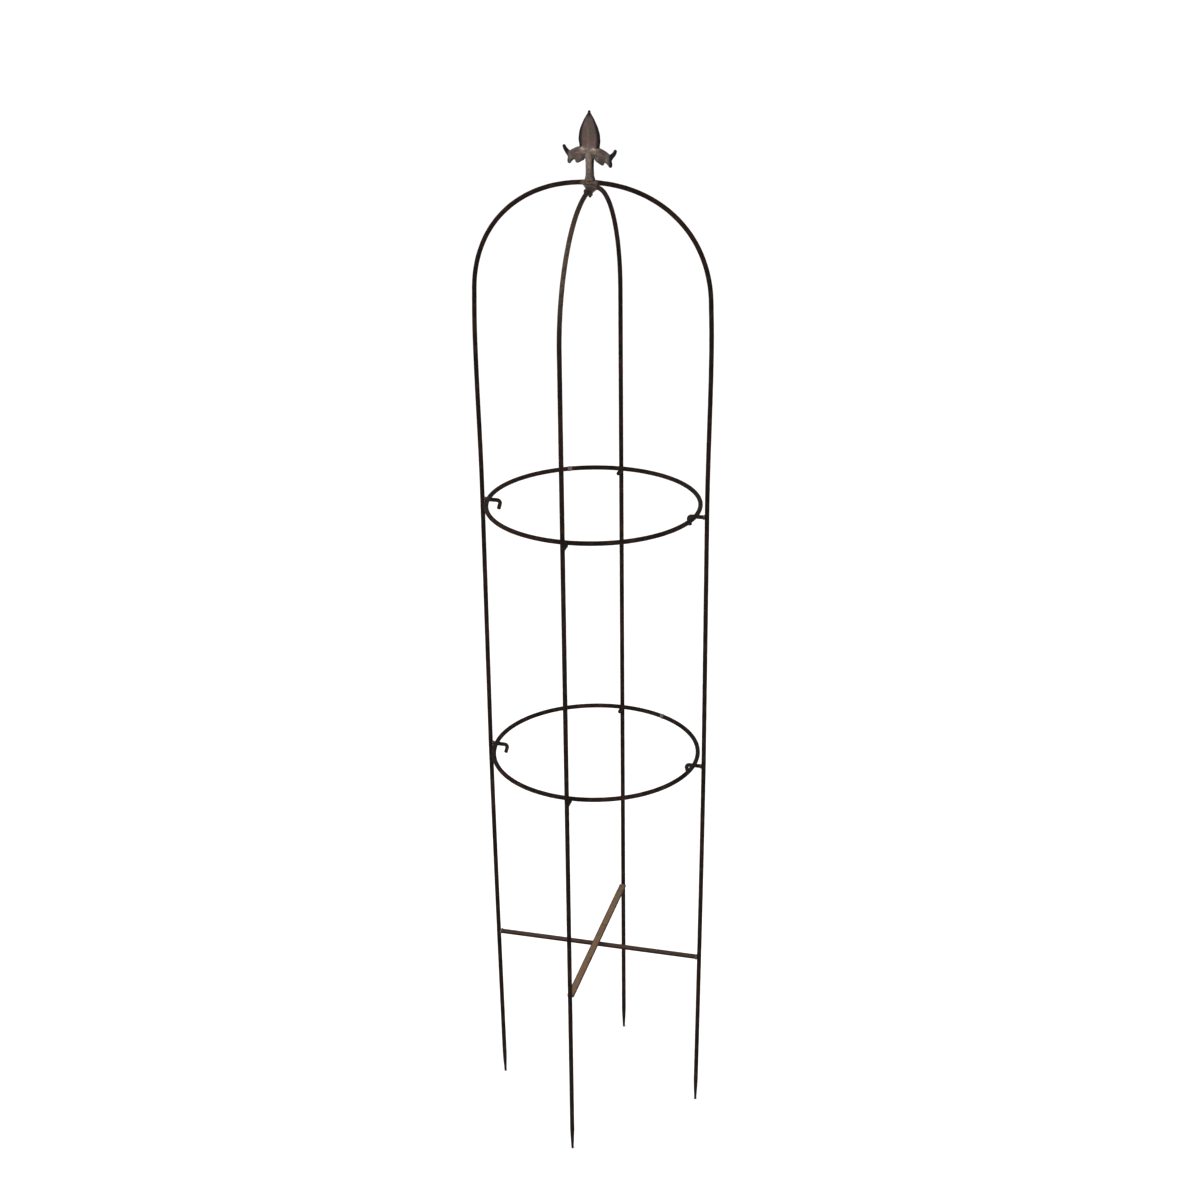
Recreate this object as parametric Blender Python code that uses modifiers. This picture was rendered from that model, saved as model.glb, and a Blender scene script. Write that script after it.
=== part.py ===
"""Garden obelisk: two crossed bent-rod arches, two loose hoops and a cast finial.

The outer arch stands in the XZ plane and the inner arch in the YZ plane.
The floor is at z = 0 and the shared pivot axis is the world Z axis.
"""

import math

import bmesh
import bpy
from mathutils import Matrix, Vector

# Frame
ARCH_HALF_WIDTH = 0.200
CROWN_HEIGHT = 1.760
OUTER_DOME_RISE = 0.187
OUTER_DOME_SQUARENESS = 2.12
INNER_DOME_RISE = 0.215
INNER_DOME_SQUARENESS = 2.0
ROD_DIAMETER = 0.008

# Outer arch: legs pulled in towards the tips, shoulders spread above the upper hoop
FOOT_PULL = 0.0084
FOOT_PULL_POWER = 1.25
LOWER_HOOP_PULL = 0.0012
UPPER_HOOP_PULL = 0.0006
SHOULDER_SPREAD = 0.0034
SHOULDER_DEPTH = 0.265
SHOULDER_FADE = 0.160

# Pointed tips
TIP_LENGTH = 0.045
TIP_DIAMETER = 0.004

# Pivot eye forged in the crown of each arch
EYE_WIDTH = 0.016
EYE_THICKNESS = 0.007
EYE_LENGTH = 0.018
EYE_BLEND = 0.009

# Cross braces, flat bar lying flat
BRACE_WIDTH = 0.013
BRACE_THICKNESS = 0.003
OUTER_BRACE_HEIGHT = 0.3205
BRACE_SPACING = 0.012
BRACE_EDGE = 0.0006

# Loose hoops and the supports they lie on
HOOP_TO_LEG_GAP = 0.008
UPPER_HOOP_HEIGHT = 1.206
LOWER_HOOP_HEIGHT = 0.7295
SUPPORT_DIAMETER = 0.0070
HOOK_PAST_HOOP = 0.0165
HOOK_BEND_RADIUS = 0.0050
HOOK_BEND_DEGREES = 105.0
HOOK_TAIL = 0.0100
PEG_PAST_HOOP = 0.0065

# Stud, spacer, washer and nut of the pivot
STUD_DIAMETER = 0.005
STUD_GRIP = 0.0190
STUD_TAIL = 0.0028
SPACER_DIAMETER = 0.018
SPACER_THICKNESS = 0.005
WASHER_DIAMETER = 0.010
WASHER_THICKNESS = 0.001
NUT_ACROSS_FLATS = 0.008
NUT_HEIGHT = 0.004

# Finial casting
FINIAL_HEIGHT = 0.112
FINIAL_TURN_DEGREES = -16.0
BLADE_HALF_WIDTH = 0.0202
BLADE_BASE = 0.046
BLADE_SWELL_START = 0.27
BLADE_TIP_HALF_WIDTH = 0.0014
BLADE_TIP_THINNING = 0.55
BLADE_EDGE_THICKNESS = 0.0036
BLADE_SPINE_THICKNESS = 0.0092
WING_SPAN = 0.0505
WING_THICKNESS = 0.0070
WING_LOW = 0.0240
WING_HIGH = 0.0542
STEM_DIAMETER = 0.0138
FOOT_DIAMETER = 0.0175
FOOT_HEIGHT = 0.005
FOOT_TOP_DIAMETER = 0.0135
STEM_TOP = 0.050
BORE_END_GAP = 0.0008

# Clearance between touching pieces
FIT = 0.0003

# Mesh fineness
BLADE_ROWS = 14
EYE_CLEAR_SPAN = 1.25
ROD_BEVEL_STEPS = 4
SUPPORT_BEVEL_STEPS = 3
DOME_STEPS = 28
LEG_STEP = 0.085
HOOP_STEPS = 96
ROUND_STEPS = 32
BEND_STEPS = 6
WELD_DISTANCE = 0.000001

# Sizes that follow from the ones above
ROD_RADIUS = ROD_DIAMETER / 2
SUPPORT_RADIUS = SUPPORT_DIAMETER / 2
LEG_INSIDE = ARCH_HALF_WIDTH - ROD_RADIUS
HOOP_RADIUS = LEG_INSIDE - HOOP_TO_LEG_GAP - ROD_RADIUS
SUPPORT_DROP = ROD_RADIUS + FIT + SUPPORT_RADIUS
EYE_HALF = EYE_THICKNESS / 2
HOLE_RADIUS = STUD_DIAMETER / 2 + FIT
SPACER_TOP = CROWN_HEIGHT - EYE_HALF - FIT
INNER_CROWN_HEIGHT = SPACER_TOP - SPACER_THICKNESS - FIT - EYE_HALF
WASHER_TOP = INNER_CROWN_HEIGHT - EYE_HALF - FIT
NUT_TOP = WASHER_TOP - WASHER_THICKNESS - FIT
STUD_BOTTOM = NUT_TOP - NUT_HEIGHT - STUD_TAIL
FINIAL_FOOT = CROWN_HEIGHT + EYE_HALF + FIT
STUD_TOP = FINIAL_FOOT + STUD_GRIP
INNER_BRACE_HEIGHT = OUTER_BRACE_HEIGHT + BRACE_SPACING
SHOULDER_HEIGHT = CROWN_HEIGHT - SHOULDER_DEPTH


def clear_scene():
    """Remove every object left in the scene."""
    for thing in list(bpy.data.objects):
        bpy.data.objects.remove(thing, do_unlink=True)


def new_collection(name):
    """Add a collection to the scene."""
    group = bpy.data.collections.new(name)
    bpy.context.scene.collection.children.link(group)
    return group


def metal(name, colour, roughness, metallic):
    """Make one plain metal material."""
    material = bpy.data.materials.new(name)
    material.use_nodes = True
    shader = material.node_tree.nodes["Principled BSDF"]
    shader.inputs["Base Color"].default_value = (colour[0], colour[1], colour[2], 1.0)
    shader.inputs["Roughness"].default_value = roughness
    shader.inputs["Metallic"].default_value = metallic
    material.diffuse_color = (colour[0], colour[1], colour[2], 1.0)
    return material


def add_object(name, mesh, group, material):
    """Link a mesh as a named object with its material."""
    thing = bpy.data.objects.new(name, mesh)
    group.objects.link(thing)
    if material is not None:
        mesh.materials.clear()
        mesh.materials.append(material)
    return thing


def close_mesh(mesh):
    """Join coincident points and turn every face outward."""
    work = bmesh.new()
    work.from_mesh(mesh)
    bmesh.ops.remove_doubles(work, verts=work.verts, dist=WELD_DISTANCE)
    bmesh.ops.recalc_face_normals(work, faces=work.faces)
    work.to_mesh(mesh)
    work.free()


def shade_round(mesh, degrees=40.0):
    """Shade a round piece smooth between its sharp edges."""
    mesh.shade_smooth()
    mesh.set_sharp_from_angle(angle=math.radians(degrees))


def curve_mesh(name, points, radius, bevel_steps, closed, scales):
    """Sweep a round section along a line of points and return the mesh."""
    line = bpy.data.curves.new(name, "CURVE")
    line.dimensions = "3D"
    line.bevel_depth = radius
    line.bevel_resolution = bevel_steps
    line.use_fill_caps = not closed
    line.twist_mode = "MINIMUM"
    spline = line.splines.new("POLY")
    spline.points.add(len(points) - 1)
    for point, place, scale in zip(spline.points, points, scales):
        point.co = (place[0], place[1], place[2], 1.0)
        point.radius = scale
    spline.use_cyclic_u = closed
    holder = bpy.data.objects.new(name + "_path", line)
    bpy.context.scene.collection.objects.link(holder)
    bpy.context.view_layer.update()
    shaped = holder.evaluated_get(bpy.context.evaluated_depsgraph_get())
    mesh = bpy.data.meshes.new_from_object(shaped)
    mesh.name = name
    bpy.data.objects.remove(holder, do_unlink=True)
    close_mesh(mesh)
    return mesh


def plate_mesh(name, outline, half_thickness):
    """Fill a flat outline in the XZ plane and give it a thickness along Y."""
    flat = bpy.data.curves.new(name, "CURVE")
    flat.dimensions = "2D"
    flat.fill_mode = "BOTH"
    flat.extrude = half_thickness
    spline = flat.splines.new("POLY")
    spline.points.add(len(outline) - 1)
    for point, place in zip(spline.points, outline):
        point.co = (place[0], place[1], 0.0, 1.0)
    spline.use_cyclic_u = True
    holder = bpy.data.objects.new(name + "_outline", flat)
    bpy.context.scene.collection.objects.link(holder)
    bpy.context.view_layer.update()
    shaped = holder.evaluated_get(bpy.context.evaluated_depsgraph_get())
    mesh = bpy.data.meshes.new_from_object(shaped)
    mesh.name = name
    bpy.data.objects.remove(holder, do_unlink=True)
    mesh.transform(Matrix.Rotation(math.radians(90.0), 4, "X"))
    close_mesh(mesh)
    return mesh


def cylinder_mesh(name, radius, bottom, top, steps=ROUND_STEPS, radius_top=None):
    """Make an upright cylinder or cone between two heights."""
    mesh = bpy.data.meshes.new(name)
    work = bmesh.new()
    middle = Matrix.Translation(Vector((0.0, 0.0, (bottom + top) / 2)))
    upper = radius if radius_top is None else radius_top
    bmesh.ops.create_cone(work, cap_ends=True, segments=steps, radius1=radius,
                          radius2=upper, depth=top - bottom, matrix=middle)
    work.to_mesh(mesh)
    work.free()
    return mesh


def tool(name, mesh, tools):
    """Keep a cutter or a joined shape out of the finished parts."""
    thing = bpy.data.objects.new(name, mesh)
    tools.objects.link(thing)
    thing.hide_render = True
    thing.display_type = "WIRE"
    return thing


def combine(thing, other, operation):
    """Cut or join another shape with an exact Boolean."""
    step = thing.modifiers.new(other.name, "BOOLEAN")
    step.operation = operation
    step.solver = "EXACT"
    step.object = other


def drill(thing, bottom, top, tools):
    """Drill the stud hole down the pivot axis."""
    mesh = cylinder_mesh(thing.name + "_drill", HOLE_RADIUS, bottom, top)
    combine(thing, tool(thing.name + "_drill", mesh, tools), "DIFFERENCE")


def dome_height(across, crown, rise, squareness):
    """Height of the rod's centre at a distance from the pivot axis."""
    share = min(1.0, abs(across) / ARCH_HALF_WIDTH)
    return crown - rise + rise * (1.0 - share ** squareness) ** (1.0 / squareness)


def ease(share):
    """Smooth step from 0 to 1."""
    share = min(1.0, max(0.0, share))
    return share * share * (3.0 - 2.0 * share)


def outer_spread(height):
    """How far the outer arch's legs stand out from its nominal half width."""
    if height < LOWER_HOOP_HEIGHT:
        down = 1.0 - height / LOWER_HOOP_HEIGHT
        return -LOWER_HOOP_PULL - FOOT_PULL * down ** FOOT_PULL_POWER
    if height < UPPER_HOOP_HEIGHT:
        up = (height - LOWER_HOOP_HEIGHT) / (UPPER_HOOP_HEIGHT - LOWER_HOOP_HEIGHT)
        return -LOWER_HOOP_PULL + (LOWER_HOOP_PULL - UPPER_HOOP_PULL) * up
    if height < SHOULDER_HEIGHT:
        up = (height - UPPER_HOOP_HEIGHT) / (SHOULDER_HEIGHT - UPPER_HOOP_HEIGHT)
        return -UPPER_HOOP_PULL + (UPPER_HOOP_PULL + SHOULDER_SPREAD) * ease(up)
    return SHOULDER_SPREAD * (1.0 - ease((height - SHOULDER_HEIGHT) / SHOULDER_FADE))


def no_spread(height):
    """The inner arch's legs keep their nominal half width."""
    return 0.0


def dome_stations(squareness):
    """Distances across the dome from one leg to the other, with the eye's own."""
    eye_end = EYE_LENGTH / 2
    blend_end = eye_end + EYE_BLEND
    power = 2.0 / squareness
    right = []
    for step in range(DOME_STEPS):
        turn = math.radians(90.0) * step / DOME_STEPS
        across = ARCH_HALF_WIDTH * math.cos(turn) ** power
        if across > blend_end * EYE_CLEAR_SPAN:
            right.append(across)
    right.append(blend_end)
    right.append(eye_end)
    left = [-across for across in right]
    return left + [0.0] + right[::-1]


def arch_path(crown, rise, squareness, spread):
    """Centre line of a bent rod from one ground tip to the other."""
    spring = crown - rise
    leg = [0.0, TIP_LENGTH / 2, TIP_LENGTH]
    steps = math.ceil((spring - TIP_LENGTH) / LEG_STEP)
    leg += [TIP_LENGTH + (spring - TIP_LENGTH) * step / steps for step in range(1, steps)]
    path = [(-ARCH_HALF_WIDTH, height) for height in leg]
    path += [(across, dome_height(across, crown, rise, squareness))
             for across in dome_stations(squareness)]
    path += [(ARCH_HALF_WIDTH, height) for height in leg[::-1]]
    placed = []
    for across, height in path:
        side = (across > 0.0) - (across < 0.0)
        placed.append((across + side * spread(height), 0.0, height))
    return placed


def tip_scale(height):
    """Share of the rod's radius left at a height on the pointed tip."""
    if height >= TIP_LENGTH:
        return 1.0
    small = TIP_DIAMETER / ROD_DIAMETER
    return small + (1.0 - small) * height / TIP_LENGTH


def flatten_eye(mesh, crown):
    """Forge the crown of the rod into a wide flat eye."""
    low = crown - EYE_HALF
    high = crown + EYE_HALF
    eye_end = EYE_LENGTH / 2 + EYE_BLEND / 2
    for vertex in mesh.vertices:
        if abs(vertex.co.x) > eye_end or vertex.co.z < crown / 2:
            continue
        vertex.co.y *= EYE_WIDTH / ROD_DIAMETER
        vertex.co.z = min(high, max(low, vertex.co.z))


def level_tips(mesh):
    """Cut the end face of each leaning tip level with the floor."""
    for vertex in mesh.vertices:
        if vertex.co.z < TIP_LENGTH / 4:
            vertex.co.z = 0.0


def arch_rod(name, crown, rise, squareness, spread, group, tools, material):
    """One bent rod with pointed tips and a drilled eye at the crown."""
    path = arch_path(crown, rise, squareness, spread)
    scales = [tip_scale(place[2]) for place in path]
    mesh = curve_mesh(name, path, ROD_RADIUS, ROD_BEVEL_STEPS, False, scales)
    level_tips(mesh)
    flatten_eye(mesh, crown)
    shade_round(mesh)
    thing = add_object(name, mesh, group, material)
    drill(thing, crown - EYE_THICKNESS, crown + EYE_THICKNESS, tools)
    return thing


def brace(name, height, spread, group, material):
    """One flat cross bar between the legs of an arch."""
    mesh = bpy.data.meshes.new(name)
    work = bmesh.new()
    half_length = LEG_INSIDE + spread(height) - FIT
    size = Matrix.Diagonal((half_length * 2, BRACE_WIDTH, BRACE_THICKNESS, 1.0))
    bmesh.ops.create_cube(work, size=1.0, matrix=size)
    work.to_mesh(mesh)
    work.free()
    thing = add_object(name, mesh, group, material)
    thing.location.z = height
    edge = thing.modifiers.new("edge", "BEVEL")
    edge.width = BRACE_EDGE
    edge.segments = 2
    edge.limit_method = "ANGLE"
    return thing


def hoop(name, height, group, material):
    """One closed hoop of round rod lying level on its supports."""
    path = []
    for step in range(HOOP_STEPS):
        turn = 2.0 * math.pi * step / HOOP_STEPS
        path.append((HOOP_RADIUS * math.cos(turn), HOOP_RADIUS * math.sin(turn), 0.0))
    mesh = curve_mesh(name, path, ROD_RADIUS, ROD_BEVEL_STEPS, True, [1.0] * HOOP_STEPS)
    shade_round(mesh)
    thing = add_object(name, mesh, group, material)
    thing.location.z = height
    return thing


def hook_path(leg_inside):
    """Centre line of a hook: level arm under the hoop, then a tail turned down."""
    inner = HOOP_RADIUS - HOOK_PAST_HOOP
    centre = inner + HOOK_BEND_RADIUS
    path = [(leg_inside - FIT, 0.0, 0.0), (HOOP_RADIUS, 0.0, 0.0)]
    turn = 0.0
    for step in range(BEND_STEPS + 1):
        turn = math.radians(HOOK_BEND_DEGREES) * step / BEND_STEPS
        across = centre - HOOK_BEND_RADIUS * math.sin(turn)
        down = HOOK_BEND_RADIUS * (1.0 - math.cos(turn))
        path.append((across, 0.0, -down))
    last = path[-1]
    end = (last[0] - HOOK_TAIL * math.cos(turn), 0.0, last[2] - HOOK_TAIL * math.sin(turn))
    path.append(end)
    return path


def peg_path(leg_inside):
    """Centre line of a short straight peg under the hoop."""
    return [(leg_inside - FIT, 0.0, 0.0), (HOOP_RADIUS - PEG_PAST_HOOP, 0.0, 0.0)]


def supports(line, spread, hoop_height, placings, group, material):
    """Place the supports of one hoop on the legs of one arch, each as its own object."""
    path = line(LEG_INSIDE + spread(hoop_height - SUPPORT_DROP))
    scales = [1.0] * len(path)
    mesh = curve_mesh(placings[0][0], path, SUPPORT_RADIUS, SUPPORT_BEVEL_STEPS, False, scales)
    shade_round(mesh)
    for name, degrees in placings:
        thing = add_object(name, mesh, group, material)
        thing.location.z = hoop_height - SUPPORT_DROP
        thing.rotation_euler.z = math.radians(degrees)


def mirrored(half):
    """Close an outline from its right half, listed from top to bottom."""
    return half + [(-across, up) for across, up in reversed(half) if across > 0.0]


def blade_half_width(up):
    """Half the width of the blade at a height above its base."""
    tall = FINIAL_HEIGHT - BLADE_BASE
    share = up / tall
    swell = math.sin(math.pi * (BLADE_SWELL_START + (1.0 - BLADE_SWELL_START) * share))
    return BLADE_HALF_WIDTH * max(0.0, swell)


def blade_mesh(name):
    """Pointed blade with a raised spine on both faces."""
    tall = FINIAL_HEIGHT - BLADE_BASE
    mesh = bpy.data.meshes.new(name)
    work = bmesh.new()
    loops = []
    for row in range(BLADE_ROWS):
        up = tall * row / BLADE_ROWS
        wide = max(blade_half_width(up), BLADE_TIP_HALF_WIDTH)
        slim = wide / BLADE_HALF_WIDTH
        spine = BLADE_EDGE_THICKNESS + (BLADE_SPINE_THICKNESS - BLADE_EDGE_THICKNESS) * slim
        edge = BLADE_EDGE_THICKNESS * (BLADE_TIP_THINNING + (1.0 - BLADE_TIP_THINNING) * slim)
        ring = [(wide, edge / 2), (0.0, spine / 2), (-wide, edge / 2),
                (-wide, -edge / 2), (0.0, -spine / 2), (wide, -edge / 2)]
        loops.append([work.verts.new((x, y, BLADE_BASE + up)) for x, y in ring])
    for low, high in zip(loops, loops[1:]):
        for index in range(6):
            after = (index + 1) % 6
            work.faces.new((low[index], low[after], high[after], high[index]))
    work.faces.new(loops[0])
    tip = work.verts.new((0.0, 0.0, FINIAL_HEIGHT))
    for index in range(6):
        work.faces.new((loops[-1][index], loops[-1][(index + 1) % 6], tip))
    bmesh.ops.recalc_face_normals(work, faces=work.faces)
    work.to_mesh(mesh)
    work.free()
    return mesh


def wing_outline():
    """Outline of the pair of side leaves with their curled spurs."""
    tall = WING_HIGH - WING_LOW
    shape = [(0.00, 0.98), (0.34, 0.99), (0.52, 0.86), (0.66, 0.80), (0.80, 0.72),
             (0.88, 0.77), (0.96, 0.93), (1.00, 0.90), (0.93, 0.68), (0.85, 0.54),
             (0.815, 0.34), (0.84, 0.10), (0.78, 0.00), (0.70, 0.07), (0.60, 0.12),
             (0.48, 0.02), (0.38, 0.10), (0.28, 0.20), (0.00, 0.22)]
    half = [(WING_SPAN * across, WING_LOW + tall * up) for across, up in shape]
    return mirrored(half)


def finial(group, tools, material):
    """Cast finial: stem and foot with the side leaves and the blade joined on."""
    mesh = cylinder_mesh("finial_casting", STEM_DIAMETER / 2, FOOT_HEIGHT / 2, STEM_TOP)
    thing = add_object("finial_casting", mesh, group, material)
    foot = cylinder_mesh("finial_foot", FOOT_DIAMETER / 2, 0.0, FOOT_HEIGHT,
                         radius_top=FOOT_TOP_DIAMETER / 2)
    combine(thing, tool("finial_foot", foot, tools), "UNION")
    wings = plate_mesh("finial_wings", wing_outline(), WING_THICKNESS / 2)
    combine(thing, tool("finial_wings", wings, tools), "UNION")
    combine(thing, tool("finial_blade", blade_mesh("finial_blade"), tools), "UNION")
    drill(thing, -STUD_GRIP, STUD_GRIP + BORE_END_GAP, tools)
    joined = ("finial_foot", "finial_wings", "finial_blade", "finial_casting_drill")
    for piece in [thing] + [tools.objects[name] for name in joined]:
        piece.location.z = FINIAL_FOOT
        piece.rotation_euler.z = math.radians(FINIAL_TURN_DEGREES)
    return thing


def ring_piece(name, radius, bottom, top, group, tools, material, steps=ROUND_STEPS):
    """A washer or nut: a disc with the stud hole through it."""
    mesh = cylinder_mesh(name, radius, bottom - top, 0.0, steps)
    thing = add_object(name, mesh, group, material)
    drill(thing, (bottom - top) * 2, top - bottom, tools)
    thing.location.z = top
    tools.objects[name + "_drill"].location.z = top
    return thing


def pivot(group, tools, steel, zinc):
    """Stud with the spacer, washer and nut that clamp the two crowns."""
    rod = cylinder_mesh("finial_stud", STUD_DIAMETER / 2, STUD_BOTTOM - STUD_TOP, 0.0)
    shade_round(rod)
    stud = add_object("finial_stud", rod, group, zinc)
    stud.location.z = STUD_TOP
    spacer_bottom = SPACER_TOP - SPACER_THICKNESS
    ring_piece("pivot_spacer", SPACER_DIAMETER / 2, spacer_bottom, SPACER_TOP, group, tools, steel)
    washer_bottom = WASHER_TOP - WASHER_THICKNESS
    ring_piece("pivot_washer", WASHER_DIAMETER / 2, washer_bottom, WASHER_TOP, group, tools, zinc)
    corner = NUT_ACROSS_FLATS / 2 / math.cos(math.radians(30.0))
    nut_bottom = NUT_TOP - NUT_HEIGHT
    ring_piece("pivot_nut", corner, nut_bottom, NUT_TOP, group, tools, zinc, 6)


def build():
    """Build every sub-part of the obelisk."""
    clear_scene()
    group = new_collection("garden_obelisk")
    tools = new_collection("cutters")
    rod_steel = metal("rusted_rod", (0.045, 0.030, 0.024), 0.78, 0.55)
    bar_steel = metal("rusted_bar", (0.120, 0.075, 0.050), 0.82, 0.45)
    hoop_steel = metal("rusted_hoop", (0.050, 0.032, 0.026), 0.78, 0.55)
    hook_steel = metal("rusted_hook", (0.048, 0.034, 0.030), 0.75, 0.55)
    cast_iron = metal("cast_finial", (0.150, 0.105, 0.085), 0.85, 0.40)
    fastener = metal("dull_fastener", (0.040, 0.036, 0.034), 0.60, 0.80)
    arch_rod("outer_arch_rod", CROWN_HEIGHT, OUTER_DOME_RISE, OUTER_DOME_SQUARENESS,
             outer_spread, group, tools, rod_steel)
    brace("outer_arch_brace", OUTER_BRACE_HEIGHT, outer_spread, group, bar_steel)
    inner = arch_rod("inner_arch_rod", INNER_CROWN_HEIGHT, INNER_DOME_RISE,
                     INNER_DOME_SQUARENESS, no_spread, group, tools, rod_steel)
    inner.rotation_euler.z = math.radians(90.0)
    crossbar = brace("inner_arch_brace", INNER_BRACE_HEIGHT, no_spread, group, bar_steel)
    crossbar.rotation_euler.z = math.radians(90.0)
    for level, height in (("upper", UPPER_HOOP_HEIGHT), ("lower", LOWER_HOOP_HEIGHT)):
        hooks = [(f"hook_{level}_right", 0.0), (f"hook_{level}_left", 180.0)]
        supports(hook_path, outer_spread, height, hooks, group, hook_steel)
        pegs = [(f"peg_{level}_back", 90.0), (f"peg_{level}_front", 270.0)]
        supports(peg_path, no_spread, height, pegs, group, hook_steel)
    hoop("hoop_upper", UPPER_HOOP_HEIGHT, group, hoop_steel)
    hoop("hoop_lower", LOWER_HOOP_HEIGHT, group, hoop_steel)
    finial(group, tools, cast_iron)
    pivot(group, tools, rod_steel, fastener)


build()
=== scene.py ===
"""Looks of the garden obelisk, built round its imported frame.

Each CAD node is replaced by a finer piece on the same body, close to the
node's own box.  The welds and the hoops' seams are extra pieces.  Metres
throughout, +Z up.
"""

import math

import bmesh
import bpy
import numpy as np
from mathutils import Matrix, Vector, noise


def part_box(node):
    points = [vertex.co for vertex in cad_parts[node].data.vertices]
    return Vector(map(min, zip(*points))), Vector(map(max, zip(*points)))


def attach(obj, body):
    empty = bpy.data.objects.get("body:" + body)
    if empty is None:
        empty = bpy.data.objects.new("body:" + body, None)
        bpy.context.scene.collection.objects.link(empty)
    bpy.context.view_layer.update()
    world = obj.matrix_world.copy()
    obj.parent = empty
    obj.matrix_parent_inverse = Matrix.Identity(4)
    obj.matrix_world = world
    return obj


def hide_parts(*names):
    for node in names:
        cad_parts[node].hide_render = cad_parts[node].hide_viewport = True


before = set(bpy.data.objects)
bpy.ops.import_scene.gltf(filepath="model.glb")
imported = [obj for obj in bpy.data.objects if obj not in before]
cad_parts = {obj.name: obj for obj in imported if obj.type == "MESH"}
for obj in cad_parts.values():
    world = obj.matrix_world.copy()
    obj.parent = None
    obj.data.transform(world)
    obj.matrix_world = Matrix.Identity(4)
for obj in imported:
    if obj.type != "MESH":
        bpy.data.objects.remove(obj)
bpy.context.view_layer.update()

# Sizes of the bar stock, as the frame was built
ROD_RADIUS = 0.004
SUPPORT_RADIUS = 0.0035
ARCH_HALF_WIDTH = 0.200

# Shape of the two domes: rise and squareness
OUTER_DOME = (0.187, 2.12)
INNER_DOME = (0.215, 2.0)

# Outer arch: legs pulled in towards the tips, shoulders spread above the upper hoop
FOOT_PULL = 0.0084
FOOT_PULL_POWER = 1.25
LOWER_HOOP_HEIGHT = 0.7295
LOWER_HOOP_PULL = 0.0012
UPPER_HOOP_HEIGHT = 1.206
UPPER_HOOP_PULL = 0.0006
SHOULDER_SPREAD = 0.0034
SHOULDER_HEIGHT = 1.495
SHOULDER_FADE = 0.160

# Pointed tips
TIP_LENGTH = 0.045
TIP_RADIUS = 0.002
TIP_SQUARENESS = 2.7

# Forged eyes at the crowns
EYE_HALF_WIDTH = 0.008
EYE_HALF_THICKNESS = 0.0035
EYE_HALF_LENGTH = 0.0105
EYE_BLEND = 0.011
HOLE_RADIUS = 0.0028

# Rubbed stretch of one shoulder: strength, distance under the crown, reach
RUBBED_DEPTH = 0.75
RUBBED_DROP = 0.085
RUBBED_REACH = 0.070

# Hooks and pegs
HOOK_BEND_RADIUS = 0.005
HOOK_BEND = math.radians(105.0)
HOOK_TAIL = 0.0100
CUT_EDGE = 0.0006

# Braces: section, rounding of the ends and depth of the skin's relief
BRACE_SQUARENESS = 7.0
BRACE_END_STEPS = (0.0, 0.0004, 0.0012)
BRACE_END_CLEAR = 0.004
BRACE_TRIM = 0.0005
BRACE_TRIM_REACH = 0.0011
CUT_BAR_RELIEF = 0.8

# Welds on the legs: bead radius and half the length of the run
HOOK_WELD = (0.0026, 0.0020)
PEG_WELD = (0.0015, 0.0016)
BRACE_WELD = (0.0024, 0.0048)
BRACE_WELD_LIFT = 0.0016
SUPPORT_WELD_LIFT = 0.92
WELD_BEADS_PER_RADIUS = 2.2
WELD_FLATNESS = 0.82
WELD_VOXEL = 0.00042

# Weld between the spacer and the outer crown
CROWN_WELD_RADIUS = 0.0017
CROWN_WELD_LUMPS = 26
CROWN_WELD_VOXEL = 0.00035

# Seam that closes a hoop: beads each way, their spacing, swell and fall-off
SEAM_BEADS = 2
SEAM_STEP = 0.0014
SEAM_SWELL = 0.0006
SEAM_FALL = 0.00012
SEAM_VOXEL = 0.0004

# Surface of the bars: height of the hammered waves and of the rust scale
WAVE_HEIGHT = 0.00012
WAVE_SIZE = 0.011
SCALE_HEIGHT = 0.00007
SCALE_SIZE = 0.0022

# Rust pattern: size of each layer of it, from broad to fine
DRIFT_SIZE = 0.090
PATCH_SIZE = 0.017
MOTTLE_SIZE = 0.0042
GRAIN_SIZE = 0.0011
PIT_SIZE = 0.0016

# Finial casting
FINIAL_TURN = math.radians(-16.0)
FINIAL_VOXEL = 0.00042
FINIAL_SKIN = 0.0006
STEM_LEVELS = (0.0005, 0.003, 0.007, 0.018, 0.030, 0.040, 0.048, 0.058, 0.070)
STEM_RADII = (0.0087, 0.0083, 0.0071, 0.0066, 0.0070, 0.0070, 0.0056, 0.0038, 0.0012)
STEM_KNOT_HEIGHT = 0.0375
STEM_KNOT = (0.0078, 0.0066, 0.0085)
POINT_KNOB = (0.0024, 0.0019, 0.0028)

# Blade: outline, then thickness of its web, central spine and rim
BLADE_BASE = 0.044
BLADE_SWELL_START = 0.27
BLADE_HALF_WIDTH = 0.0202
BLADE_POINT_HALF_WIDTH = 0.0009
BLADE_WEB = 0.0020
BLADE_SPINE = 0.0024
BLADE_SPINE_WIDTH = 0.20
BLADE_RIM = 0.0007
BLADE_ROWS = 70
BLADE_COLUMNS = 28

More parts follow.
